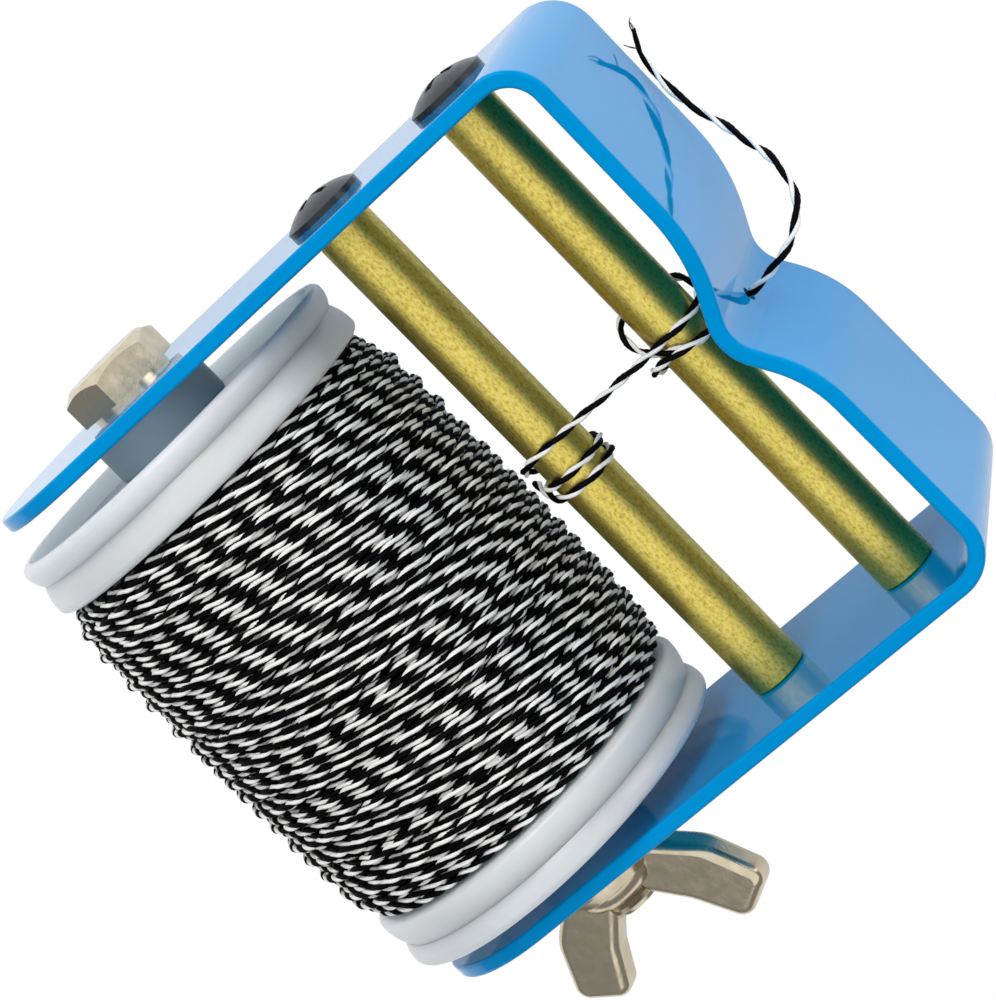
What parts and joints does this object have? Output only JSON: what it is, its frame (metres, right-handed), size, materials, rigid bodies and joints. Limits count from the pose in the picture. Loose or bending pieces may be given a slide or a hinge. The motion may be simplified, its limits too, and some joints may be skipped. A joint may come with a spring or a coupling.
{
  "type": "thread spool jig",
  "caption": "U-shaped metal frame holding a spool of twisted thread on a wing-nut bolt, with guide rods that brake the thread before it leaves through a dipped bridge.",
  "frame": {"origin": "on the spool's axis, midway between the frame's legs and across the strip", "axes": "+X along the clamp bolt from its head to the wing nut, +Y along the legs towards the bridge, +Z across the strip"},
  "size_m": [0.0814, 0.0808, 0.041],
  "materials": {
    "blue_paint": "glossy enamel",
    "brass": "brushed, a little tarnished",
    "black_steel": "black oxide",
    "nickel": "nickel plated",
    "clear_plastic": "milky translucent moulding",
    "grey_plastic": "smooth grey moulding",
    "thread": "two-ply black and white twist"
  },
  "bodies": {
    "frame_assembly": {"frame": "blue_paint", "inner_guide_rod": "brass", "outer_guide_rod": "brass", "inner_rod_left_screw": "black_steel", "outer_rod_left_screw": "black_steel", "inner_rod_right_screw": "black_steel", "outer_rod_right_screw": "black_steel", "clamp_bolt": "nickel", "left_bushing": "grey_plastic", "right_bushing": "grey_plastic", "working_thread": "thread", "thread_free_end": "thread"},
    "spool": {"spool_core": "clear_plastic", "left_end_cap": "clear_plastic", "right_end_cap": "clear_plastic", "thread_pack": "thread"},
    "washer": {"nut_washer": "nickel"},
    "wing_nut": {"wing_nut": "nickel"}
  },
  "joints": [
    {"name": "spool_spin", "type": "hinge", "parent": "frame_assembly", "child": "spool", "pos_m": [0, 0, 0], "axis": [1, 0, 0], "continuous": true},
    {"name": "wing_nut_travel", "type": "slide", "parent": "frame_assembly", "child": "washer", "axis": [1, 0, 0], "range_m": [0, 0.0041]},
    {"name": "wing_nut_turn", "type": "hinge", "parent": "washer", "child": "wing_nut", "pos_m": [0.034, 0, 0], "axis": [1, 0, 0], "range_deg": [0, 1440]}
  ],
  "couplings": [
    {"joint": "wing_nut_travel", "follows": "wing_nut_turn", "m_per_rad": 0.00015915}
  ]
}
